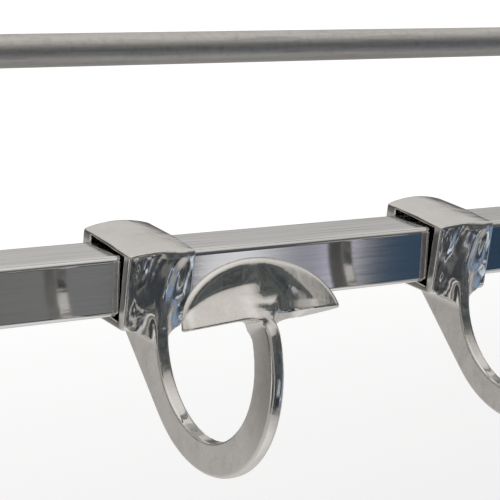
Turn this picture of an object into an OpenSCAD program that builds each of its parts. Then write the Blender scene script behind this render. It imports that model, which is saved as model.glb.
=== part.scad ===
// Wall hook rack: a polished square bar carrying loose cast hooks that slide
// along it, with a round tube rail above, held off the wall by two end brackets.
// Frame: X runs along the bar, +Y points into the wall, +Z is up.
// The origin is the centre of the four wall screw holes, on the wall face.

/* [Bar and rail] */
// Outside size of the square bar
bar_size = 25; // [24:0.5:26]
// Wall thickness of the square bar tube
bar_wall = 2; // [1.5:0.5:3]
// Outside corner radius of the square bar
bar_corner = 2.5; // [1.5:0.5:3]
// Diameter of the round rail tube
rail_d = 12.7; // [12:0.1:14]
// Wall thickness of the round rail tube
rail_wall = 1.5; // [1:0.25:2.5]
// Height of the rail axis above the bar axis
rail_rise = 92.5; // [85:0.5:110]
// Distance of the bar and rail axes from the wall
stand_off = 60; // [50:1:80]

/* [Brackets] */
// Distance between the centre lines of the two brackets
bracket_span = 764; // [740:2:900]
// Width of a wall plate
plate_w = 40; // [36:1:50]
// Height of a wall plate
plate_h = 146; // [142:1:180]
// Thickness of a wall plate
plate_t = 5; // [4:0.5:8]
// Corner radius of a wall plate
plate_r = 8; // [4:1:12]
// Height between the two wall screw holes of one plate
hole_pitch = 46; // [40:1:50]
// Diameter of a wall screw hole
hole_d = 5.5; // [4.5:0.5:6.5]
// Outside size of the square bar socket
socket_size = 36; // [34:1:42]
// Length of each socket along the bar
socket_len = 30; // [26:1:36]
// Depth that the bar or rail enters its socket
socket_depth = 22; // [16:1:22]
// Outside diameter of the round rail socket
rail_socket_d = 23; // [20:1:28]
// Diameter of the arm that carries the bar socket
bar_arm_d = 20; // [16:1:24]
// Diameter of the arm that carries the rail socket
rail_arm_d = 16; // [13:1:18]

/* [Hooks] */
// Resting distance between neighbouring hooks
hook_pitch = 155; // [150:1:160]
// Width of the sliding sleeve along the bar
sleeve_w = 31; // [28:0.5:34]
// Forward lean of the resting sleeve, in degrees
sleeve_lean = 3.2; // [2.5:0.1:3.6]
// Free height inside the sleeve
sleeve_in_h = 27.1; // [27:0.1:28.5]
// Free depth inside the sleeve
sleeve_in_d = 28.4; // [28:0.1:30]
// Thickness of the sleeve's top wall
sleeve_top = 2.6; // [2.2:0.1:4]
// Thickness of the sleeve's bottom wall at its front edge
sleeve_bottom = 2.8; // [2.6:0.1:4]
// Thickness of the sleeve's front wall at its top edge
sleeve_front = 4.8; // [3:0.1:5]
// Thickness of the sleeve's back wall
sleeve_back = 5.4; // [3:0.1:6]
// Radius of the hole inside the hook ring
ring_in_r = 35.3; // [33:0.1:36]
// Outside radius of the hook ring
ring_out_r = 47.4; // [46:0.1:49]
// Thickness of the hook ring along the bar
ring_t = 5.8; // [4:0.1:8]
// Distance of the ring centre in front of the bar axis
ring_fwd = 57.5; // [56:0.5:60]
// Drop of the ring centre below the bar axis
ring_drop = 13; // [12:0.5:15]
// Half width of the half-moon end plate
moon_hw = 34; // [30:0.5:36]
// Height of the half-moon end plate
moon_h = 24; // [21:0.5:26]
// Backward lean of the half-moon end plate, in degrees
moon_lean = 27.4; // [24:0.2:32]
// Thickness of the half-moon end plate at its middle
moon_t = 6; // [5:0.5:7]

/* [Hidden] */

bar_z = -rail_rise / 2;
rail_z = rail_rise / 2;
axis_y = -stand_off;
half_span = bracket_span / 2;
socket_in = half_span - socket_len / 2;   // inner face of each socket
tube_len = 2 * (socket_in + socket_depth);
fit = 0.1;                                // slip clearance of the tubes in their sockets
screw_r = 3;                              // M6 arm screw
arm_thread_len = 16;
grub_r = 2.5;                             // M5 grub screw
$fn = 64;

// rounded rectangle, w along the first axis and h along the second
module round_rect(w, h, r) {
  union() {
    square([w - 2 * r, h], center = true);
    square([w, h - 2 * r], center = true);
    for (sx = [-1, 1], sy = [-1, 1])
      translate([sx * (w / 2 - r), sy * (h / 2 - r)]) circle(r = r);
  }
}

// carries a profile drawn in (forward, up) to run along the bar, centred on x = 0
module along_bar(len) {
  rotate([90, 0, -90]) translate([0, 0, -len / 2]) linear_extrude(height = len) children();
}

// ---------- wall plates ----------
module wall_plate(side) {
  color("silver")
  translate([side * half_span, 0, 0])
  difference() {
    rotate([90, 0, 0]) linear_extrude(height = plate_t) round_rect(plate_w, plate_h, plate_r);
    // wall screw holes, countersunk from the front
    for (s = [-1, 1]) translate([0, 0, s * hole_pitch / 2]) rotate([90, 0, 0]) {
      translate([0, 0, -1]) cylinder(d = hole_d, h = plate_t + 2);
      translate([0, 0, plate_t - 2.5]) cylinder(d1 = hole_d, d2 = hole_d + 5.2, h = 2.6);
    }
    // arm screw holes, countersunk from the wall side
    for (z = [bar_z, rail_z]) translate([0, 0, z]) rotate([90, 0, 0]) {
      translate([0, 0, -1]) cylinder(r = screw_r + fit, h = plate_t + 2);
      translate([0, 0, -0.1]) cylinder(r1 = screw_r + 3.1, r2 = screw_r + fit, h = 3.2);
    }
  }
}

// ---------- bar sockets ----------
module bar_socket(side) {
  color("silver")
  difference() {
    union() {
      translate([side * half_span, axis_y, bar_z]) along_bar(socket_len)
        round_rect(socket_size, socket_size, 5);
      translate([side * half_span, -plate_t, bar_z]) rotate([90, 0, 0])
        cylinder(d = bar_arm_d, h = stand_off - plate_t - socket_size / 2 + 1);
    }
    // pocket for the square bar
    translate([side * (socket_in + socket_depth / 2 - 1), axis_y, bar_z])
      along_bar(socket_depth + 2.1) round_rect(bar_size + 2 * fit, bar_size + 2 * fit, bar_corner + fit);
    // thread for the arm screw
    translate([side * half_span, -plate_t + 1, bar_z]) rotate([90, 0, 0])
      cylinder(r = screw_r + fit, h = arm_thread_len + 1);
    // thread for the grub screw
    translate([side * (socket_in + 9), axis_y, bar_z - socket_size / 2 - 1])
      cylinder(r = grub_r + fit, h = (socket_size - bar_size) / 2 + 2);
  }
}

// ---------- rail sockets ----------
module rail_socket(side) {
  color("silver")
  difference() {
    union() {
      translate([side * half_span, axis_y, rail_z]) rotate([0, 90, 0])
        cylinder(d = rail_socket_d, h = socket_len, center = true);
      translate([side * half_span, -plate_t, rail_z]) rotate([90, 0, 0])
        cylinder(d = rail_arm_d, h = stand_off - plate_t);
    }
    // pocket for the round rail
    translate([side * (socket_in + socket_depth / 2 - 1), axis_y, rail_z]) rotate([0, 90, 0])
      cylinder(d = rail_d + 2 * fit, h = socket_depth + 2.1, center = true);
    translate([side * half_span, -plate_t + 1, rail_z]) rotate([90, 0, 0])
      cylinder(r = screw_r + fit, h = arm_thread_len + 1);
    translate([side * (socket_in + 9), axis_y, rail_z - rail_socket_d / 2 - 1])
      cylinder(r = grub_r + fit, h = (rail_socket_d - rail_d) / 2 + 2);
  }
}

// ---------- bar and rail ----------
module square_bar() {
  color([0.80, 0.80, 0.83])
  translate([0, axis_y, bar_z]) along_bar(tube_len)
    difference() {
      round_rect(bar_size, bar_size, bar_corner);
      round_rect(bar_size - 2 * bar_wall, bar_size - 2 * bar_wall, 1);
    }
}

module round_rail() {
  color([0.60, 0.60, 0.62])
  translate([0, axis_y, rail_z]) rotate([0, 90, 0])
    difference() {
      cylinder(d = rail_d, h = tube_len, center = true);
      cylinder(d = rail_d - 2 * rail_wall, h = tube_len + 2, center = true);
    }
}

// ---------- screws ----------
module grub_screw(side, z, outer) {
  // outer: distance from the axis to the socket's underside; the tip bears on the tube
  color([0.35, 0.35, 0.37])
  translate([side * (socket_in + 9), axis_y, z])
    difference() {
      translate([0, 0, -outer + 0.6]) cylinder(r = grub_r, h = 5);
      translate([0, 0, -outer - 0.1]) cylinder(r = 1.45, h = 2.8, $fn = 6);
    }
}
module bar_grub_screw(side) { grub_screw(side, bar_z, bar_size / 2 + 5.6); }
module rail_grub_screw(side) { grub_screw(side, rail_z, rail_d / 2 + 5.6); }

// two countersunk screws of one bracket, driven from the wall side into the arms
module arm_screws(side) {
  color([0.62, 0.62, 0.64])
  for (z = [bar_z, rail_z]) translate([side * half_span, 0, z]) rotate([90, 0, 0])
    difference() {
      union() {
        translate([0, 0, 0.2]) cylinder(r1 = screw_r + 2.7, r2 = screw_r, h = 2.7);
        translate([0, 0, 0.2]) cylinder(r = screw_r, h = arm_thread_len + plate_t - 2);
      }
      translate([0, 0, -0.1]) cylinder(r = 2.1, h = 2.4, $fn = 6);
    }
}

// ---------- hooks ----------
// The hook is drawn about the bar axis: u is forward from the axis and v is up.
lean = sleeve_lean;
// closest approach kept between the sleeve and the bar
sleeve_gap = 0.35;
// lower front inner corner of the sleeve, set off the bar's faces
sin_u = bar_size / 2 + sleeve_gap;
sin_v = -bar_size / 2 - sleeve_gap - bar_size * sin(lean);
in_fb = [sin_u, sin_v];
du = [sin(lean), cos(lean)];   // up along the leaning front wall
dv = [-cos(lean), sin(lean)];  // back along the leaning floor
function add(a, b) = [a[0] + b[0], a[1] + b[1]];
function mul(a, k) = [a[0] * k, a[1] * k];
in_ft = add(in_fb, mul(du, sleeve_in_h));
in_bb = add(in_fb, mul(dv, sleeve_in_d));
in_bt = add(in_ft, mul(dv, sleeve_in_d));
out_fb = add(add(in_fb, mul(dv, -sleeve_front - 0.6)), mul(du, -sleeve_bottom));
out_ft = add(add(in_ft, mul(dv, -sleeve_front)), mul(du, sleeve_top));
out_bb = [in_bb[0] - sleeve_back, out_fb[1]];
out_bt = add(add(in_bt, mul(dv, sleeve_back)), mul(du, sleeve_top));

// the tangent web line leaves the ring at this angle and meets the sleeve's floor
web_ang = 311.2;
web_tan = [ring_fwd - ring_out_r * cos(web_ang), -ring_drop + ring_out_r * sin(web_ang)];
moon_base_ang = 32;
moon_base_r = 43.2;
moon_u = ring_fwd + moon_base_r * cos(moon_base_ang);
moon_v = -ring_drop + moon_base_r * sin(moon_base_ang);
dome_r = (moon_hw * moon_hw + 9) / 6;

// flat outline of ring, web and stem in (u, v)
module ring_outline() {
  difference() {
    union() {
      translate([ring_fwd, -ring_drop]) circle(r = ring_out_r, $fn = 160);
      polygon([web_tan, [ring_fwd, -ring_drop], [ring_fwd - 34, 0], in_fb, [in_fb[0], out_fb[1] + 1],
               [-8.6, out_fb[1] + 2.2], [-8.6, -17.2]]);
    }
    translate([ring_fwd, -ring_drop]) circle(r = ring_in_r, $fn = 160);
    // mouth of the hook, open above the ring between the sleeve and the half-moon
    polygon([[ring_fwd, -ring_drop], [ring_fwd - 38, -ring_drop + 6.5], [ring_fwd - 38, 60],
             [moon_u + 24, 60], [moon_u + 4, moon_v + 3]]);
  }
}

// half-moon outline, flat side down
module moon_outline() {
  polygon([for (i = [0 : 40]) [moon_hw * cos(i * 4.5), moon_h * sin(i * 4.5)]]);
}

module half_moon() {
  translate([0, -moon_u, moon_v]) rotate([90 - moon_lean, 0, 0])
    intersection() {
      translate([0, 0, -moon_t / 2]) linear_extrude(height = moon_t) moon_outline();
      translate([0, 6, moon_t / 2 - dome_r]) sphere(r = dome_r, $fn = 128);
    }
}

module hook(i) {
  color([0.72, 0.71, 0.69])
  translate([(i - 3) * hook_pitch, axis_y, bar_z]) {
    difference() {
      union() {
        along_bar(sleeve_w) polygon([out_fb, out_ft, out_bt, out_bb]);
        along_bar(ring_t) ring_outline();
        // crest that carries the ring's inner edge up the front wall
        along_bar(ring_t + 4) polygon([[out_fb[0] - 1, -16], [ring_fwd - ring_in_r, -14],
                                       [ring_fwd - ring_in_r - 0.4, -4], [out_ft[0] - 0.5, 11], [out_fb[0] - 1, 11]]);
        // flared root under the sleeve, fading into the flat web
        difference() {
          translate([-sleeve_w / 2, -16, -30]) cube([sleeve_w, 18, 14]);
          for (s = [-1, 1]) translate([s * (sleeve_w / 2 + 0.2), 10, -30.2]) rotate([90, 0, 0])
            cylinder(r = sleeve_w / 2 - ring_t / 2, h = 40, $fn = 64);
          along_bar(sleeve_w + 2) polygon([[-3, -17], web_tan, [-3, -60]]);
        }
        half_moon();
      }
      along_bar(sleeve_w + 2) polygon([in_fb, in_ft, in_bt, in_bb]);
    }
  }
}
module hook_1() { hook(1); }
module hook_2() { hook(2); }
module hook_3() { hook(3); }
module hook_4() { hook(4); }
module hook_5() { hook(5); }

wall_plate(-1);  // wall_plate_left
wall_plate(1);  // wall_plate_right
bar_socket(-1);  // bar_socket_left
bar_socket(1);  // bar_socket_right
rail_socket(-1);  // rail_socket_left
rail_socket(1);  // rail_socket_right
square_bar();
round_rail();
bar_grub_screw(-1);  // bar_grub_screw_left
bar_grub_screw(1);  // bar_grub_screw_right
rail_grub_screw(-1);  // rail_grub_screw_left
rail_grub_screw(1);  // rail_grub_screw_right
arm_screws(-1);  // arm_screws_left
arm_screws(1);  // arm_screws_right
hook_1();
hook_2();
hook_3();
hook_4();
hook_5();
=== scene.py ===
import math

import bpy
import numpy as np
from mathutils import Matrix, Vector


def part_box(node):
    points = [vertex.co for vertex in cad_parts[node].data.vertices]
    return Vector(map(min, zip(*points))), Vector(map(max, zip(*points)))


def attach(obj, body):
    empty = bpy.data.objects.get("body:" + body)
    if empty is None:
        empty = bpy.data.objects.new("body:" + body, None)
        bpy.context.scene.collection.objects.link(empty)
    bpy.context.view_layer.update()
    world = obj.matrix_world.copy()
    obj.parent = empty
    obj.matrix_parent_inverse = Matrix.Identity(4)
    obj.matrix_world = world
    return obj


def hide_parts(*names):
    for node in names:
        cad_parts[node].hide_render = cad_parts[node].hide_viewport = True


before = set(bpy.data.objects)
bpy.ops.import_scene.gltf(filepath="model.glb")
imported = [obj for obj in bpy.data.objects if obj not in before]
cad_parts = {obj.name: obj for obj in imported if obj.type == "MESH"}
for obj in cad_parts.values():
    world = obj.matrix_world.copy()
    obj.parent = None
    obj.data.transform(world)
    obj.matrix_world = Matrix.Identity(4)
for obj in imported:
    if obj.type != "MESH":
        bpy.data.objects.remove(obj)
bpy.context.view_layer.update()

MM = 0.001
scene = bpy.context.scene

# ---------------------------------------------------------------- frame facts
lo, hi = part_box("square_bar")
BAR_Y = (lo[1] + hi[1]) / 2 / MM
BAR_Z = (lo[2] + hi[2]) / 2 / MM
BAR_H = (hi[2] - lo[2]) / 2 / MM
BAR_X0, BAR_X1 = lo[0] / MM, hi[0] / MM
lo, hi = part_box("round_rail")
RAIL_Y = (lo[1] + hi[1]) / 2 / MM
RAIL_Z = (lo[2] + hi[2]) / 2 / MM
RAIL_R = (hi[2] - lo[2]) / 2 / MM
HOOK_X = []
for i in range(1, 6):
    lo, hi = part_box("hook_%d" % i)
    HOOK_X.append((lo[0] + hi[0]) / 2 / MM)


# ---------------------------------------------------------------- node helpers
class Nodes:
    def __init__(self, tree):
        self.t = tree
        tree.nodes.clear()

    def add(self, kind, **props):
        n = self.t.nodes.new(kind)
        for k, v in props.items():
            setattr(n, k, v)
        return n

    def link(self, a, b):
        self.t.links.new(a, b)

    def value(self, sock, v):
        if hasattr(v, "is_output"):
            self.link(v, sock)
        else:
            sock.default_value = v

    def math(self, op, a, b=0.0, c=0.0, clamp=False):
        n = self.add("ShaderNodeMath", operation=op, use_clamp=clamp)
        for s, v in zip(n.inputs, (a, b, c)):
            self.value(s, v)
        return n.outputs[0]

    def noise(self, vec, scale, detail=4.0, rough=0.5, distortion=0.0):
        n = self.add("ShaderNodeTexNoise")
        self.link(vec, n.inputs["Vector"])
        n.inputs["Scale"].default_value = scale
        n.inputs["Detail"].default_value = detail
        n.inputs["Roughness"].default_value = rough
        n.inputs["Distortion"].default_value = distortion
        return n.outputs["Fac"]

    def scaled(self, vec, s, off=(0, 0, 0)):
        n = self.add("ShaderNodeMapping")
        self.link(vec, n.inputs["Vector"])
        n.inputs["Scale"].default_value = s
        n.inputs["Location"].default_value = off
        return n.outputs[0]

    def ramp(self, fac, stops, interp="LINEAR"):
        n = self.add("ShaderNodeValToRGB")
        n.color_ramp.interpolation = interp
        el = n.color_ramp.elements
        while len(el) < len(stops):
            el.new(0.5)
        for e, (p, c) in zip(el, stops):
            e.position = p
            e.color = (c[0], c[1], c[2], 1) if hasattr(c, "__len__") else (c, c, c, 1)
        self.link(fac, n.inputs[0])
        return n.outputs[0]

    def remap(self, v, a, b, c, d, kind="LINEAR"):
        n = self.add("ShaderNodeMapRange", interpolation_type=kind, clamp=True)
        self.link(v, n.inputs["Value"])
        for k, x in zip(("From Min", "From Max", "To Min", "To Max"), (a, b, c, d)):
            n.inputs[k].default_value = x
        return n.outputs[0]

    def mix(self, fac, a, b, mode="MIX"):
        n = self.add("ShaderNodeMix", data_type="RGBA", blend_type=mode)
        self.value(n.inputs[0], fac)
        for s, v in ((n.inputs[6], a), (n.inputs[7], b)):
            if hasattr(v, "is_output"):
                self.link(v, s)
            else:
                s.default_value = (v[0], v[1], v[2], 1)
        return n.outputs[2]

    def bump(self, height, dist, strength=1.0, under=None):
        n = self.add("ShaderNodeBump")
        n.inputs["Strength"].default_value = strength
        n.inputs["Distance"].default_value = dist
        self.link(height, n.inputs["Height"])
        if under is not None:
            self.link(under, n.inputs["Normal"])
        return n.outputs[0]


def metal(name, colour, rough, bump=None, metallic=1.0, spec=0.5):
    """A principled metal. colour, rough and bump are functions of (nodes, object coordinates in mm)."""
    m = bpy.data.materials.new(name)
    m.use_nodes = True
    n = Nodes(m.node_tree)
    out = n.add("ShaderNodeOutputMaterial")
    p = n.add("ShaderNodeBsdfPrincipled")
    n.link(p.outputs[0], out.inputs[0])
    tc = n.add("ShaderNodeTexCoord")
    co = n.scaled(tc.outputs["Object"], (1000, 1000, 1000))
    p.inputs["Metallic"].default_value = metallic
    n.value(p.inputs["Base Color"], colour(n, co, tc))
    n.value(p.inputs["Roughness"], rough(n, co, tc))
    if bump:
        n.link(bump(n, co, tc), p.inputs["Normal"])
    return m


# ---------------------------------------------------------------- distance-field castings
def smax(a, b, k):
    h = np.clip(0.5 + 0.5 * (a - b) / k, 0.0, 1.0)
    return b + (a - b) * h + k * h * (1.0 - h)


def smin(a, b, k):
    return -smax(-a, -b, k)


def surface_net(field, lows, highs, step, relax=6):
    """Quads of the surface field = 0, with their corners pulled exactly onto it, and its normals."""
    axes = [np.arange(a, b + step, step) for a, b in zip(lows, highs)]
    X, Y, Z = np.meshgrid(*axes, indexing="ij", sparse=True)
    f = field(X, Y, Z)
    f = np.broadcast_to(f, [len(a) for a in axes]).astype(np.float32)
    f = np.where(f == 0, np.float32(1e-6), f)
    neg = f < 0
    n0, n1, n2 = (s - 1 for s in f.shape)
    acc = np.zeros((n0, n1, n2, 3), np.float32)
    cnt = np.zeros((n0, n1, n2), np.float32)
    offs = [(0, 0), (0, 1), (1, 0), (1, 1)]
    for ax in range(3):
        o1, o2 = [a for a in range(3) if a != ax]
        for p, q in offs:
            sl0 = [None] * 3
            sl1 = [None] * 3
            sl0[ax], sl1[ax] = slice(0, f.shape[ax] - 1), slice(1, f.shape[ax])
            for o, d in ((o1, p), (o2, q)):
                sl0[o] = sl1[o] = slice(d, f.shape[o] - 1 + d)
            fa, fb = f[tuple(sl0)], f[tuple(sl1)]
            cross = neg[tuple(sl0)] != neg[tuple(sl1)]
            t = np.where(cross, fa / np.where(cross, fa - fb, 1), 0)
            acc[..., ax] += t
            acc[..., o1] += np.where(cross, p, 0)
            acc[..., o2] += np.where(cross, q, 0)
            cnt += cross
    active = cnt > 0
    idx = -np.ones(active.shape, np.int64)
    idx[active] = np.arange(active.sum())
    cell = np.argwhere(active)
    v = cell + acc[active] / cnt[active][:, None]
    v = np.array([a[0] for a in axes]) + v * step
    quads = []
    for ax in range(3):
        o1, o2 = (ax + 1) % 3, (ax + 2) % 3
        sl0 = [slice(1, s - 1) for s in f.shape]
        sl1 = [slice(1, s - 1) for s in f.shape]
        sl0[ax], sl1[ax] = slice(0, f.shape[ax] - 1), slice(1, f.shape[ax])
        a, b = neg[tuple(sl0)], neg[tuple(sl1)]
        where = np.argwhere(a != b)
        flip = a[tuple(where.T)]
        base = where.copy()
        base[:, o1] += 1
        base[:, o2] += 1
        ring = []
        for d1, d2 in ((0, 0), (-1, 0), (-1, -1), (0, -1)):
            c = base.copy()
            c[:, o1] += d1
            c[:, o2] += d2
            ring.append(idx[tuple(c.T)])
        ring = np.stack(ring, 1)
        quads.append(np.where(flip[:, None], ring, ring[:, ::-1]))
    quads = np.concatenate(quads)
    eps = 0.02

    def grad(p):
        g = np.empty_like(p)
        for k in range(3):
            d = np.zeros(3)
            d[k] = eps
            g[:, k] = (field(*(p + d).T) - field(*(p - d).T)) / (2 * eps)
        return g

    def pull(p, times):
        for _ in range(times):
            g = grad(p)
            s = field(*p.T) / np.maximum((g * g).sum(1), 0.05)
            p = p - np.clip(s, -step, step)[:, None] * g
        return p

    v = pull(v.astype(np.float64), 3)
    e = np.concatenate([quads[:, [0, 1]], quads[:, [1, 2]], quads[:, [2, 3]], quads[:, [3, 0]]])
    deg = np.bincount(e.ravel(), minlength=len(v)).astype(float)
    for _ in range(relax):
        s = np.zeros_like(v)
        for k in range(3):
            s[:, k] = np.bincount(e[:, 0], v[e[:, 1], k], len(v)) + np.bincount(e[:, 1], v[e[:, 0], k], len(v))
        g = grad(v)
        g /= np.linalg.norm(g, axis=1)[:, None] + 1e-9
        m = s / np.maximum(deg, 1)[:, None] - v
        m -= (m * g).sum(1)[:, None] * g
        v = pull(v + 0.5 * m, 1)
    v = pull(v, 2)
    g = grad(v)
    g /= np.linalg.norm(g, axis=1)[:, None] + 1e-9
    return v, quads, g


def mesh_object(name, verts_mm, faces, normals=None, offset=(0, 0, 0)):
    me = bpy.data.meshes.new(name)
    v = (np.asarray(verts_mm) + np.asarray(offset)) * MM
    me.vertices.add(len(v))
    me.vertices.foreach_set("co", v.astype(np.float32).ravel())
    nf = len(faces)
    k = faces.shape[1]
    me.loops.add(nf * k)
    me.loops.foreach_set("vertex_index", faces.astype(np.int32).ravel())
    me.polygons.add(nf)
    me.polygons.foreach_set("loop_start", (np.arange(nf) * k).astype(np.int32))
    me.polygons.foreach_set("loop_total", np.full(nf, k, np.int32))
    me.polygons.foreach_set("use_smooth", np.ones(nf, bool))
    me.update(calc_edges=True)
    me.validate()
    if normals is not None:
        me.normals_split_custom_set_from_vertices([tuple(x) for x in normals])
    o = bpy.data.objects.new(name, me)
    scene.collection.objects.link(o)
    return o


# ---------------------------------------------------------------- the hook casting
# x runs along the bar, u is forward from the bar's axis and v is up, in millimetres.
RC_U, RC_V, R_IN, R_OUT = 57.5, -13.0, 35.3, 47.15
RING_HT = 2.85
MOON_U, MOON_V, MOON_A, MOON_B = 93.7, 9.67, 34.3, 24.1
LEAN = math.radians(27.4)
CL, SL = math.cos(LEAN), math.sin(LEAN)


def line_d(u, v, p, q):
    """Signed distance to the line p-q, positive on its left."""
    dx, dy = q[0] - p[0], q[1] - p[1]
    n = math.hypot(dx, dy)
    return -((u - p[0]) * dy - (v - p[1]) * dx) / n


def plane_u(v):
    """How far forward the sleeve's flat front is at a height."""
    return 17.45 + 0.0586 * (v + 17.3)


def sleeve_outline(u, v):
    front = -line_d(u, v, (17.45, -17.3), (19.35, 15.1))
    back = line_d(u, v, (-21.4, -17.3), (-20.3, 15.5))
    return front, back, -17.35 - v + 0.010 * u


def sleeve_relief(x, v):
    """The hand-finished unevenness of the sleeve's polished front, in millimetres outward."""
    t = np.clip((v + 10.0) / 24.5, 0, 1)
    xr = 0.6 + 1.8 * t + 7.5 * t ** 4
    fade = np.clip((v + 14) / 6, 0, 1) * np.clip((15.2 - v) / 3.0, 0, 1)
    e = x - xr
    ridge = 1.3 * np.where(e > 0, np.exp(-(e / 4.3) ** 2), np.exp(-(e / 11.0) ** 2))
    wave = 0.26 * np.sin(0.42 * x + 0.16 * v + 0.6) * np.sin(0.24 * v - 0.17 * x + 1.1) + 0.09 * np.sin(0.85 * x - 0.38 * v)
    valley = -0.28 * np.exp(-((x + 5.5 + 0.12 * v) / 2.4) ** 2) * np.clip((v + 4) / 8, 0, 1)
    calm = 1 - 0.75 * np.clip((3 - x) / 6, 0, 1) * np.clip((2 - v) / 6, 0, 1)
    edge = np.clip((15.0 - np.abs(x)) / 4.0, 0, 1)
    return (ridge + wave * 1.5 * calm + valley) * fade * edge


def moon_front(x, s):
    """The end plate's scooped front: how far it stands out at (x, s), and the blend to its right half."""
    S = MOON_B * np.sqrt(np.clip(1 - (x / MOON_A) ** 2, 0.03, 1))
    tau = np.clip(s / S, -0.3, 1.1)
    pl = np.sqrt((0.31 * (tau - 0.60)) ** 2 + 0.012 ** 2)
    n_left = 1.3 + 0.7 * np.exp(-(x / 9.0) ** 2) * np.clip(1 - tau, 0, 1) + S * (pl - 0.124)
    bowl = np.clip(1 - (np.maximum(tau, 0) / 0.97) ** 2, 0, 1)
    xb = 15 - 15 * (np.clip(tau - 0.3, 0, 1) / 0.65) ** 1.4
    w = np.clip((x - xb + 3.5) / 11.0, 0, 1)
    w = w * w * (3 - 2 * w)
    rim = 1.3 - 1.1 * np.clip(x / 16.0, 0, 1)
    n_right = rim - (1 - w) * 1.6 * bowl + w * (0.15 * (S - np.maximum(s, -6)) + 0.02 * np.maximum(x - 12, 0))
    m = np.clip((x + 6.5) / 9.0, 0, 1)
    m = m * m * (3 - 2 * m)
    return n_left * (1 - m) + n_right * m, m


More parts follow.
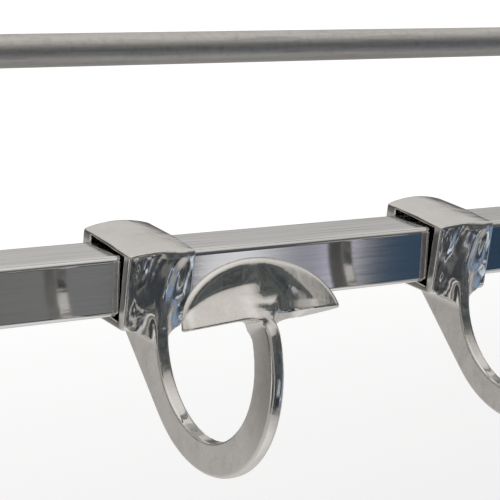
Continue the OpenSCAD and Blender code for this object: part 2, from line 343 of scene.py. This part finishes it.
def hook_field(x, u, v):
    ax = np.abs(x)
    # sleeve, outside
    front, back, bottom = sleeve_outline(u, v)
    front = front - sleeve_relief(x, v) * 0.9
    us = np.clip(u, -22, 20)
    top_edge = 15.75 - 0.75 / (1 + np.exp(-(us - 8) / 3.0)) - 0.025 * np.maximum(us, 0)
    crown = 2.6 - 1.5 / (1 + np.exp(-(us + 9) / 4.5)) + 0.35 * np.exp(-((us - 11) / 6.0) ** 2)
    xr = np.clip(x / 15.5, -1.2, 1.2)
    top = v - (top_edge + crown * (1 - xr ** 2) ** 1.0)
    sleeve = smax(front, back, 2.0)
    sleeve = smax(sleeve, bottom, 3.2)
    sleeve = smax(sleeve, top * 0.96, 1.5)
    side = ax - 15.45
    sleeve = smax(sleeve, side, 1.4)
    # ring, web and the crest up the sleeve's front: one plate
    du, dv = u - RC_U, v - RC_V
    rho = np.sqrt(du * du + dv * dv)
    phi = np.degrees(np.arctan2(dv, du))
    r_out = R_OUT + 2.0 * np.exp(-((phi + 48) / 52.0) ** 2) - 4.0 * np.clip((phi - 24) / 14.0, 0, 1) ** 1.5
    h1 = -0.636 * du - 0.772 * dv - 47.4
    h2 = 0.772 * du - 0.636 * dv
    web = np.maximum(np.maximum(h1, h2), np.maximum(-(u + 9.0), v - 6.0))
    outer = np.minimum(rho - r_out, web)
    inner = R_IN - rho
    uc = 22.33 - 4.1 * np.clip(smin((v + 16.0) / 15.0, 1.0, 0.5), 0, 1) ** 1.5 - 0.008 * np.clip(v + 4.0, 0, 20) ** 2
    uc = uc - (0.36 * np.sqrt(x * x + 4.0) - 0.72) * np.clip((v + 16.0) / 5.0, 0, 1)
    c1 = np.maximum(np.maximum(uc - u, -16.0 - v), u - RC_U)
    a = math.radians(38.0)
    c2 = np.maximum(RC_U - 0.5 - u, du * math.sin(a) - dv * math.cos(a))
    inner = np.maximum(inner, -np.minimum(c1, c2))
    crest = np.maximum(u - uc, np.maximum(v - 9.0, np.maximum(-17 - v, 8 - u)))
    inner = np.minimum(inner, crest)
    outer = np.minimum(outer, crest)
    reach = np.maximum(np.maximum(front, back), bottom)
    low = 1 / (1 + np.exp((v + 12) / 3.0))
    flare = np.where(x < 0, 6.8, 5.3) + 2.0 * low
    hw = RING_HT + flare * (1 - np.clip(reach / (4.0 + 3.0 * low), 0, 1)) ** 3 * (u < 40)
    side_d = (ax - hw) * 0.85
    bull = np.clip((u - 40) / 30, 0, 1)
    hw = hw + 0.16 * np.sin(0.75 * v - 1.2 * u + 0.6) * np.clip((5.0 - reach) / 4.0, 0, 1) * (u < 40)
    side_d = (ax - hw) * 0.85
    ring = smax(smax(outer, side_d, 1.2 + 0.8 * bull), inner, 0.9)
    # half-moon end plate: s runs up it, n out of its front
    s = -(u - MOON_U) * SL + (v - MOON_V) * CL
    n = (u - MOON_U) * CL + (v - MOON_V) * SL
    n_front, m = moon_front(x, s)
    ring = smax(ring, n - (n_front + 0.2 + 3.9 * np.clip(1 - (s + 1.0) / 4.5, 0, 1.5)), 2.0)
    body = smin(sleeve, ring, 3.2)
    body = smax(body, side, 0.8)
    sp = np.maximum(s, -6)
    k1 = np.sqrt((x / MOON_A) ** 2 + (sp / MOON_B) ** 2) + 1e-9
    k2 = np.sqrt((x / MOON_A ** 2) ** 2 + (sp / MOON_B ** 2) ** 2) + 1e-9
    rim = k1 * (k1 - 1) / k2
    q = np.clip(k1, 0, 1.3)
    n_back = -2.2 - 2.2 * np.clip(1 - q ** 2, 0, 1) - 1.2 * np.exp(-(x / 7.0) ** 2)
    plate = smax(rim, (n - n_front) * 0.95, 4.2)
    plate = smax(plate, (n_back - n) * 0.98, 1.2)
    # lower edge of the right half: a bevel from the lip back to the heel
    t = (x - 3) / 31.0
    n_lip = moon_front(x, 2.0 + 0 * x)[0]
    n_heel = -2.2 - 2.2 * (1 - (x / MOON_A) ** 2) - 1.2 * np.exp(-(x / 7.0) ** 2)
    s_lip = (3.03 - 0.4 * t - 0.2085 * n_lip) / 0.974
    s_heel = (-2.27 + 3.6 * t - 0.2085 * n_heel) / 0.974
    cut_r = s_lip + np.clip((s_lip - s_heel) / (n_lip - n_heel), 0.1, 1.3) * (n - n_lip)
    cut_l = 1.85 - 0.063 * ax - 0.05 * n
    plate = smax(plate, ((cut_l * (1 - m) + cut_r * m) - s) * 0.9, 0.8)
    d = smin(body, plate, 0.01)
    d = np.minimum(d, smin(ring, plate, 6.0))
    # the sleeve's hole
    hole = np.maximum(np.maximum(-line_d(u, v, (12.85, -14.2), (14.36, 12.85)), line_d(u, v, (-15.4, -12.75), (-14.0, 14.35))),
                      np.maximum(line_d(u, v, (-14.0, 14.4), (14.36, 12.85)), -line_d(u, v, (-15.4, -12.7), (12.85, -14.25))))
    return smax(d, -hole, 0.9)


HOOK_V, HOOK_F, HOOK_N = surface_net(hook_field, (-36.5, -23.5, -62.5), (36.5, 107.5, 33.5), 0.75)


def hook_mesh(i):
    # (x, u, v) to (X, Y, Z): u points out of the wall, so Y = axis - u
    v = np.stack([HOOK_V[:, 0], -HOOK_V[:, 1], HOOK_V[:, 2]], 1)
    n = np.stack([HOOK_N[:, 0], -HOOK_N[:, 1], HOOK_N[:, 2]], 1)
    return mesh_object("hook_casting_%d" % (i + 1), v, HOOK_F[:, ::-1], n, (HOOK_X[i], BAR_Y, BAR_Z))


hooks = []
for i in range(5):
    o = hook_mesh(i)
    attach(o, "hook_%d_body" % (i + 1))
    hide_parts("hook_%d" % (i + 1))
    hooks.append(o)


# ---------------------------------------------------------------- materials
def cast_flat(n, tc):
    """1 on the flat sides of the ring, which are linished rather than mirror polished."""
    s = n.add("ShaderNodeSeparateXYZ")
    n.link(tc.outputs["Normal"], s.inputs[0])
    return n.remap(n.math("ABSOLUTE", s.outputs[0]), 0.90, 0.985, 0.0, 1.0, "SMOOTHSTEP")


def cast_colour(n, co, tc):
    f = n.noise(co, 0.09, 3, 0.55)
    g = n.noise(co, 0.9, 4, 0.6)
    c = n.ramp(f, [(0.25, (0.69, 0.675, 0.65)), (0.75, (0.77, 0.755, 0.73))])
    c = n.mix(n.remap(g, 0.45, 0.75, 0.0, 0.25), c, (0.58, 0.565, 0.54))
    streak = n.noise(n.scaled(co, (1.0, 0.16, 0.10)), 1.1, 3, 0.6)
    flat = cast_flat(n, tc)
    c = n.mix(n.math("MULTIPLY", n.remap(streak, 0.50, 0.72, 0.0, 0.34), flat), c, (0.45, 0.44, 0.42))
    s = n.add("ShaderNodeSeparateXYZ")
    n.link(co, s.inputs[0])
    # painted shade: the flat sides of the ring's forward part, next to the end plate, are darkened in colour to
    # stand for the darker reflection they show there
    painted_shade = n.math("MULTIPLY", n.remap(s.outputs[1], BAR_Y - 84.0, BAR_Y - 103.0, 0.0, 1.0, "SMOOTHSTEP"),
                  n.remap(s.outputs[2], BAR_Z - 52.0, BAR_Z - 12.0, 0.0, 1.0, "SMOOTHSTEP"))
    c = n.mix(n.math("MULTIPLY", n.math("MULTIPLY", painted_shade, flat), 0.85), c, (0.34, 0.33, 0.315))
    return n.mix(cast_ends(n, co, tc), c, (0.30, 0.29, 0.265))


def cast_ends(n, co, tc):
    """1 on the sleeve's end faces, above and below the bar, which are coloured darker."""
    s = n.add("ShaderNodeSeparateXYZ")
    n.link(co, s.inputs[0])
    x = n.math("ABSOLUTE", n.math("WRAP", s.outputs[0], 77.5, -77.5))
    e = n.remap(x, 14.0, 15.0, 0.0, 1.0, "SMOOTHSTEP")
    back = n.remap(s.outputs[1], BAR_Y - 16.0, BAR_Y - 13.0, 0.0, 1.0, "SMOOTHSTEP")
    high = n.remap(n.math("ABSOLUTE", n.math("SUBTRACT", s.outputs[2], BAR_Z)), 11.0, 13.5, 0.0, 1.0, "SMOOTHSTEP")
    return n.math("MULTIPLY", n.math("MULTIPLY", e, back), n.math("MULTIPLY", high, cast_flat(n, tc)))


def cast_rough(n, co, tc):
    base = n.remap(n.noise(co, 0.22, 3, 0.6), 0.3, 0.7, 0.07, 0.16)
    flat = n.remap(n.noise(co, 0.7, 4, 0.6), 0.3, 0.7, 0.26, 0.36)
    fac = cast_flat(n, tc)
    return n.math("ADD", n.math("MULTIPLY", base, n.math("SUBTRACT", 1.0, fac)), n.math("MULTIPLY", flat, fac))


def cast_bump(n, co, tc):
    a = n.noise(co, 0.11, 2, 0.45, 0.6)
    b = n.noise(n.scaled(co, (1.0, 0.8, 0.38)), 0.36, 2, 0.4, 0.5)
    c = n.noise(n.scaled(co, (1.0, 0.25, 1.6)), 3.0, 3, 0.6)
    h = n.bump(a, 0.0005, 0.5)
    h = n.bump(b, 0.00012, 0.5, h)
    return n.bump(c, 0.00001, 0.4, h)


def bar_colour(n, co, tc):
    f = n.noise(n.scaled(co, (0.02, 1.0, 1.0)), 0.9, 4, 0.6)
    front = n.ramp(f, [(0.3, (0.74, 0.74, 0.745)), (0.7, (0.80, 0.80, 0.805))])
    top = n.ramp(f, [(0.28, (0.50, 0.495, 0.49)), (0.45, (0.70, 0.695, 0.69)), (0.75, (0.80, 0.795, 0.79))])
    return n.mix(bar_top(n, tc), front, top)


def bar_top(n, tc):
    s = n.add("ShaderNodeSeparateXYZ")
    n.link(tc.outputs["Normal"], s.inputs[0])
    return n.remap(s.outputs[2], 0.5, 0.95, 0.0, 1.0, "SMOOTHSTEP")


def bar_rough(n, co, tc):
    streak = n.remap(n.noise(n.scaled(co, (0.012, 1.0, 1.0)), 1.6, 4, 0.65), 0.3, 0.7, 0.035, 0.07)
    top = n.remap(n.noise(n.scaled(co, (0.02, 1.0, 1.0)), 1.2, 4, 0.65), 0.3, 0.7, 0.10, 0.20)
    fac = bar_top(n, tc)
    return n.math("ADD", n.math("MULTIPLY", streak, n.math("SUBTRACT", 1.0, fac)), n.math("MULTIPLY", top, fac))


def bar_bump(n, co, tc):
    a = n.noise(n.scaled(co, (0.012, 1.0, 1.0)), 0.35, 2, 0.4)
    b = n.noise(n.scaled(co, (0.03, 1.0, 1.0)), 3.0, 3, 0.6)
    h = n.bump(a, 0.0001, 0.3)
    return n.bump(b, 0.000006, 0.5, h)


def rail_colour(n, co, tc):
    f = n.noise(n.scaled(co, (0.05, 1.0, 1.0)), 0.5, 5, 0.65)
    g = n.noise(co, 0.35, 4, 0.6)
    c = n.ramp(f, [(0.30, (0.44, 0.43, 0.415)), (0.46, (0.62, 0.605, 0.59)), (0.54, (0.56, 0.55, 0.53)), (0.70, (0.70, 0.685, 0.665))])
    c = n.mix(n.remap(g, 0.5, 0.7, 0.0, 0.3), c, (0.33, 0.32, 0.30))
    # painted shade: the rail's colour turns darker on its downward-facing side
    s = n.add("ShaderNodeSeparateXYZ")
    n.link(tc.outputs["Normal"], s.inputs[0])
    return n.mix(n.remap(s.outputs[2], -0.75, 0.05, 0.62, 0.0, "SMOOTHSTEP"), c, (0.28, 0.275, 0.265))


def rail_rough(n, co, tc):
    return n.remap(n.noise(n.scaled(co, (0.04, 1.0, 1.0)), 0.8, 4, 0.6), 0.3, 0.7, 0.40, 0.52)


def rail_bump(n, co, tc):
    return n.bump(n.noise(n.scaled(co, (0.03, 1.0, 1.0)), 2.2, 4, 0.6), 0.00004, 0.6)


def steel_colour(n, co, tc):
    f = n.noise(n.scaled(co, (1.0, 0.06, 1.0)), 1.2, 4, 0.6)
    return n.ramp(f, [(0.3, (0.58, 0.58, 0.585)), (0.7, (0.70, 0.70, 0.705))])


def steel_rough(n, co, tc):
    return n.remap(n.noise(n.scaled(co, (1.0, 0.06, 1.0)), 1.8, 4, 0.6), 0.3, 0.7, 0.20, 0.34)


def steel_bump(n, co, tc):
    return n.bump(n.noise(n.scaled(co, (1.0, 0.05, 1.0)), 3.0, 3, 0.6), 0.00002, 0.5)


def screw_colour(n, co, tc):
    return n.ramp(n.noise(co, 1.2, 3, 0.6), [(0.3, (0.36, 0.36, 0.37)), (0.7, (0.50, 0.50, 0.51))])


def screw_rough(n, co, tc):
    return n.remap(n.noise(co, 1.5, 3, 0.6), 0.3, 0.7, 0.28, 0.42)


M_HOOK = metal("polished_casting", cast_colour, cast_rough, cast_bump)
M_BAR = metal("bar_chrome", bar_colour, bar_rough, bar_bump)
M_RAIL = metal("rail_brushed", rail_colour, rail_rough, rail_bump)
M_STEEL = metal("bracket_satin", steel_colour, steel_rough, steel_bump)
M_SCREW = metal("screw_steel", screw_colour, screw_rough)

for o in hooks:
    o.data.materials.append(M_HOOK)
for name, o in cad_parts.items():
    m = {"square_bar": M_BAR, "round_rail": M_RAIL}.get(name)
    if m is None:
        m = M_SCREW if "screw" in name else M_STEEL
    o.data.materials.clear()
    o.data.materials.append(m)

# ---------------------------------------------------------------- stage
fm = bpy.data.materials.new("floor_paint")
fm.use_nodes = True
fp = fm.node_tree.nodes["Principled BSDF"]
fp.inputs["Base Color"].default_value = (0.85, 0.86, 0.88, 1)
fp.inputs["Roughness"].default_value = 0.85
fp.inputs["Emission Color"].default_value = (1, 1, 1, 1)
fn = fm.node_tree
# painted light: the floor glows, more strongly further back, so it looks brighter with distance
ftc = fn.nodes.new("ShaderNodeTexCoord")
fsep = fn.nodes.new("ShaderNodeSeparateXYZ")
fmap = fn.nodes.new("ShaderNodeMapRange")
fn.links.new(ftc.outputs["Object"], fsep.inputs[0])
fn.links.new(fsep.outputs[1], fmap.inputs["Value"])
for k, x in (("From Min", 1.0), ("From Max", 3.2), ("To Min", 0.21), ("To Max", 0.50)):
    fmap.inputs[k].default_value = x
fn.links.new(fmap.outputs[0], fp.inputs["Emission Strength"])
floor = mesh_object("floor", np.array([(-9000, -3000, -900), (9000, -3000, -900), (9000, 12000, -900), (-9000, 12000, -900)], float),
                    np.array([[0, 1, 2, 3]]))
floor.data.materials.append(fm)
floor.visible_glossy = False

w = bpy.data.worlds.new("studio")
scene.world = w
w.use_nodes = True
n = Nodes(w.node_tree)
out = n.add("ShaderNodeOutputWorld")
tc = n.add("ShaderNodeTexCoord")
d = tc.outputs["Generated"]
sep = n.add("ShaderNodeSeparateXYZ")
n.link(d, sep.inputs[0])
elev = sep.outputs[2]
# brightness by height: in front of the rack to the right, in front to the left, and behind it
h01 = n.remap(elev, -1, 1, 0, 1)


def heights(stops):
    return n.ramp(h01, [((math.sin(math.radians(e)) + 1) / 2, c) for e, c in stops])


front_r = heights([(-90, (0.92, 0.91, 0.90)), (-52, (0.84, 0.83, 0.82)), (-35, (0.50, 0.49, 0.485)), (-26, (0.12, 0.125, 0.135)),
                   (-8, (0.10, 0.105, 0.115)), (2, (0.075, 0.082, 0.085)), (14, (0.095, 0.105, 0.105)), (24, (0.105, 0.115, 0.112)), (31, (0.15, 0.158, 0.152)), (36, (0.37, 0.365, 0.35)), (41, (0.56, 0.54, 0.525)), (48, (0.69, 0.66, 0.635)), (56, (0.79, 0.755, 0.735)),
                   (90, (0.98, 0.96, 0.94))])
front_l = heights([(-90, (0.74, 0.73, 0.71)), (-40, (0.55, 0.54, 0.52)), (-12, (0.38, 0.37, 0.36)), (20, (0.36, 0.355, 0.34)), (50, (0.60, 0.585, 0.56)),
                   (90, (0.98, 0.96, 0.94))])
behind = heights([(-90, (0.74, 0.73, 0.71)), (-28, (0.56, 0.545, 0.53)), (-13, (0.54, 0.525, 0.51)), (-8, (0.16, 0.16, 0.155)), (6, (0.14, 0.14, 0.135)), (11, (0.44, 0.43, 0.42)), (18, (0.66, 0.645, 0.63)), (50, (0.78, 0.77, 0.75)),
                  (90, (0.98, 0.96, 0.94))])
az = n.math("ARCTAN2", sep.outputs[0], n.math("MULTIPLY", sep.outputs[1], -1.0))
right_side = n.remap(az, math.radians(-22), math.radians(-2), 0.0, 1.0, "SMOOTHSTEP")
# the room in front of the rack isn't even: patches of it are darker and lighter
patches = n.remap(n.noise(d, 6.5, 4, 0.62, 0.9), 0.34, 0.66, 0.40, 1.85)
level = n.math("MULTIPLY", n.remap(elev, 0.55, 0.66, 1.0, 0.0, "SMOOTHSTEP"), n.remap(elev, -0.55, -0.42, 0.0, 1.0, "SMOOTHSTEP"))
front_r = n.mix(level, front_r, n.mix(1.0, front_r, patches, "MULTIPLY"))
front = n.mix(right_side, front_l, front_r)
fac = n.remap(sep.outputs[1], -0.30, 0.10, 0.0, 1.0, "SMOOTHSTEP")
env = n.mix(fac, front, behind)


def lump(direction, inner, outer, colour):
    """A soft-edged light panel far away in one direction, its radii in degrees."""
    v = Vector(direction).normalized()
    dot = n.add("ShaderNodeVectorMath", operation="DOT_PRODUCT")
    n.link(d, dot.inputs[0])
    dot.inputs[1].default_value = v
    m = n.remap(dot.outputs["Value"], math.cos(math.radians(outer)), math.cos(math.radians(inner)), 0.0, 1.0, "SMOOTHSTEP")
    return n.mix(m, env, colour)


def toward(az_deg, el_deg):
    """Direction from its angle right of straight ahead of the rack and its height."""
    a, e = math.radians(az_deg), math.radians(el_deg)
    return (math.sin(a) * math.cos(e), -math.cos(a) * math.cos(e), math.sin(e))


env = lump(toward(33, -25), 4, 10, (0.035, 0.04, 0.045))
env = lump(toward(-84, -12), 5, 13, (0.95, 0.92, 0.88))
# narrow panels low in front to the right, which the bar's front mirrors
azd = n.math("MULTIPLY", az, 180 / math.pi)
bands = n.ramp(n.remap(azd, 20, 50, 0, 1), [((a - 20) / 30, c) for a, c in (
    (20, (0.06, 0.06, 0.06)), (24.6, (0.18, 0.18, 0.175)), (29.3, (0.20, 0.20, 0.20)), (29.7, (0.045, 0.05, 0.06)), (31.6, (0.045, 0.05, 0.06)), (32.2, (0.74, 0.73, 0.74)), (33.8, (0.84, 0.85, 0.88)), (34.5, (0.50, 0.50, 0.52)),
    (35.6, (0.26, 0.27, 0.31)), (36.3, (0.34, 0.33, 0.40)), (36.9, (0.68, 0.66, 0.76)), (37.4, (0.42, 0.41, 0.43)), (37.9, (0.12, 0.13, 0.15)), (38.6, (0.045, 0.075, 0.12)), (42, (0.03, 0.06, 0.10)),
    (50, (0.05, 0.06, 0.08)))])
eld = n.math("MULTIPLY", n.math("ARCSINE", elev), 180 / math.pi)
win = n.math("MULTIPLY", n.remap(eld, -20.5, -18.5, 0, 1, "SMOOTHSTEP"), n.remap(eld, -11, -8, 1, 0, "SMOOTHSTEP"))
win = n.math("MULTIPLY", win, n.math("MULTIPLY", n.remap(azd, 18, 22, 0, 1), n.remap(azd, 46, 50, 1, 0)))
env = n.mix(win, env, bands)
# upright strips of window and wall further left, which the sleeves' uneven fronts pick up
strips = n.ramp(n.remap(azd, -24, 22, 0, 1), [((a + 24) / 46, c) for a, c in (
    (-24, (0.36, 0.35, 0.34)), (-19, (0.20, 0.20, 0.195)), (-15, (0.09, 0.09, 0.09)), (-12, (0.52, 0.51, 0.50)), (-8, (0.78, 0.77, 0.76)), (-5, (0.72, 0.73, 0.76)), (-2.5, (0.07, 0.075, 0.085)),
    (3, (0.035, 0.045, 0.06)), (22, (0.07, 0.075, 0.08)))])
win = n.math("MULTIPLY", n.remap(eld, -38, -30, 0, 1, "SMOOTHSTEP"), n.remap(eld, -4, 6, 1, 0, "SMOOTHSTEP"))
win = n.math("MULTIPLY", win, n.math("MULTIPLY", n.remap(azd, -26, -21, 0, 1), n.remap(azd, 19, 24, 1, 0)))
env = n.mix(win, env, strips)
env = lump(toward(66, -17), 4, 14, (0.26, 0.37, 0.55))
env = lump(toward(76, -2), 3, 7, (0.66, 0.74, 0.88))
env = lump(toward(-48, -15), 14, 21, (0.06, 0.06, 0.06))
env = lump(toward(49, -23), 3.0, 4.5, (0.85, 0.93, 1.05))
bg = n.add("ShaderNodeBackground")
n.link(env, bg.inputs[0])
bg.inputs[1].default_value = 1.0
seen = n.add("ShaderNodeBackground")
seen.inputs[0].default_value = (0.985, 0.985, 0.985, 1)
seen.inputs[1].default_value = 1.0
lp = n.add("ShaderNodeLightPath")
mixs = n.add("ShaderNodeMixShader")
n.link(lp.outputs["Is Camera Ray"], mixs.inputs[0])
n.link(bg.outputs[0], mixs.inputs[1])
n.link(seen.outputs[0], mixs.inputs[2])
n.link(mixs.outputs[0], out.inputs[0])


def area(name, loc, target, size, power, colour=(1, 1, 1)):
    l = bpy.data.lights.new(name, "AREA")
    l.shape = "RECTANGLE"
    l.size, l.size_y = size
    l.energy = power
    l.color = colour
    o = bpy.data.objects.new(name, l)
    o.location = loc
    o.rotation_mode = "QUATERNION"
    o.rotation_quaternion = (Vector(target) - Vector(loc)).to_track_quat("-Z", "Y")
    scene.collection.objects.link(o)
    return o


area("key_top", (0.3, -0.9, 1.6), (0, -0.06, 0), (1.4, 0.9), 14).visible_glossy = False

# ---------------------------------------------------------------- camera
YAW, PITCH, ROLL = math.radians(33.7685), math.radians(15.3305), math.radians(4.5778)
F_PX = 1712.27
cam_d = bpy.data.cameras.new("camera")
cam_d.sensor_width = 36
cam_d.lens = F_PX / 500 * 36
cam_d.clip_start, cam_d.clip_end = 0.02, 60
cam = bpy.data.objects.new("camera", cam_d)
fwd = Vector((math.sin(YAW) * math.cos(PITCH), math.cos(YAW) * math.cos(PITCH), -math.sin(PITCH)))
r0 = Vector((math.cos(YAW), -math.sin(YAW), 0))
u0 = r0.cross(fwd)
right = math.cos(ROLL) * r0 + math.sin(ROLL) * u0
up = -math.sin(ROLL) * r0 + math.cos(ROLL) * u0
eye = Vector((HOOK_X[1] - 332.205, BAR_Y - 576.703, BAR_Z + 196.417)) * MM
cam.matrix_world = Matrix(((right.x, up.x, -fwd.x, eye.x), (right.y, up.y, -fwd.y, eye.y), (right.z, up.z, -fwd.z, eye.z), (0, 0, 0, 1)))
scene.collection.objects.link(cam)
scene.camera = cam
scene.view_settings.view_transform = "Standard"
scene.view_settings.look = "None"
